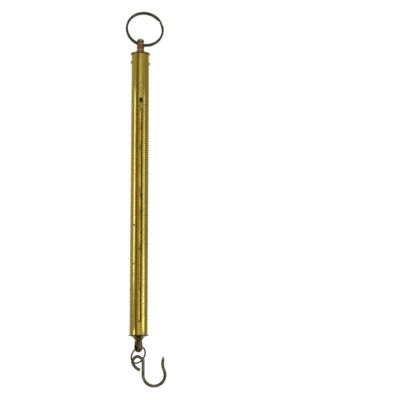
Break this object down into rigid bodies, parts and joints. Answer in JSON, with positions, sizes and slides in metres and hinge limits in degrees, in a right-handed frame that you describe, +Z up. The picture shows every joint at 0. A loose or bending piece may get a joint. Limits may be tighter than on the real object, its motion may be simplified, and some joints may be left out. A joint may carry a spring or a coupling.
{
  "type": "tubular spring balance",
  "caption": "Hand-held tubular brass spring balance: slotted case over a sliding draw tube with a pointer, swivel eyes, a split ring to hang it by and a load hook.",
  "frame": {"origin": "bearing point inside the top of the split ring, where the balance is hung up", "axes": "+Z up along the tubes, the slot and its scale face -Y, +X to the right as the scale is read"},
  "size_m": [0.0459, 0.0215, 0.4073],
  "materials": {
    "split_ring": "dark oiled steel wire",
    "top_eye": "turned brass, browned",
    "bottom_eye": "turned brass, browned",
    "top_washer": "plain",
    "top_nut": "plain",
    "bottom_washer": "plain",
    "bottom_nut": "plain",
    "top_cap": "turned brass, browned",
    "bottom_cap": "turned brass, browned",
    "cap_screws": "round heads, worn",
    "case_tube": "drawn tube, handled and tarnished, engraved scale",
    "draw_tube": "drawn tube, brighter where it is covered",
    "draw_tube_rivets": "dressed heads",
    "guide_collar": "turned, plain",
    "mouth_bush": "turned, plain",
    "pointer": "milled, satin",
    "pointer_screw": "plain",
    "upper_spring_pin": "plain",
    "lower_spring_pin": "plain",
    "main_spring": "oiled spring wire",
    "link_ring": "dark oiled steel wire",
    "load_hook": "dull steel wire, worn bright in places"
  },
  "bodies": {
    "ring": {"split_ring": "split_ring"},
    "top_swivel": {"top_eye": "top_eye", "top_washer": "top_washer", "top_nut": "top_nut"},
    "case": {"top_cap": "top_cap", "cap_screws": "cap_screws", "case_tube": "case_tube", "upper_spring_pin": "upper_spring_pin", "main_spring": "main_spring", "mouth_bush": "mouth_bush"},
    "draw": {"draw_tube": "draw_tube", "pointer": "pointer", "pointer_screw": "pointer_screw", "lower_spring_pin": "lower_spring_pin", "bottom_cap": "bottom_cap", "draw_tube_rivets": "draw_tube_rivets", "guide_collar": "guide_collar"},
    "bottom_swivel": {"bottom_eye": "bottom_eye", "bottom_washer": "bottom_washer", "bottom_nut": "bottom_nut"},
    "link": {"link_ring": "link_ring"},
    "hook": {"load_hook": "load_hook"}
  },
  "joints": [
    {"name": "ring_swing", "type": "hinge", "parent": "ring", "child": "top_swivel", "pos_m": [-0.005, -0.00707, -0.0364], "axis": [1, 0, 0], "range_deg": [-130, 130]},
    {"name": "case_turn", "type": "hinge", "parent": "top_swivel", "child": "case", "pos_m": [-0.005, -0.00707, -0.0483], "axis": [0, 0, 1], "continuous": true},
    {"name": "draw_slide", "type": "slide", "parent": "case", "child": "draw", "axis": [0, 0, -1], "range_m": [0, 0.2265], "stiffness_N_per_m": 296, "springref_m": -0.006, "deforming": ["main_spring"]},
    {"name": "hook_swivel", "type": "hinge", "parent": "draw", "child": "bottom_swivel", "pos_m": [-0.005, -0.00707, -0.3503], "axis": [0, 0, 1], "continuous": true},
    {"name": "link_swing", "type": "hinge", "parent": "bottom_swivel", "child": "link", "pos_m": [-0.005, -0.00707, -0.3637], "axis": [0.8862, 0.4633, 0], "range_deg": [-100, 60]},
    {"name": "hook_swing", "type": "hinge", "parent": "link", "child": "hook", "pos_m": [-0.0047, 0.00013, -0.3788], "axis": [0.1392, 0.9903, 0], "range_deg": [-60, 75]}
  ]
}
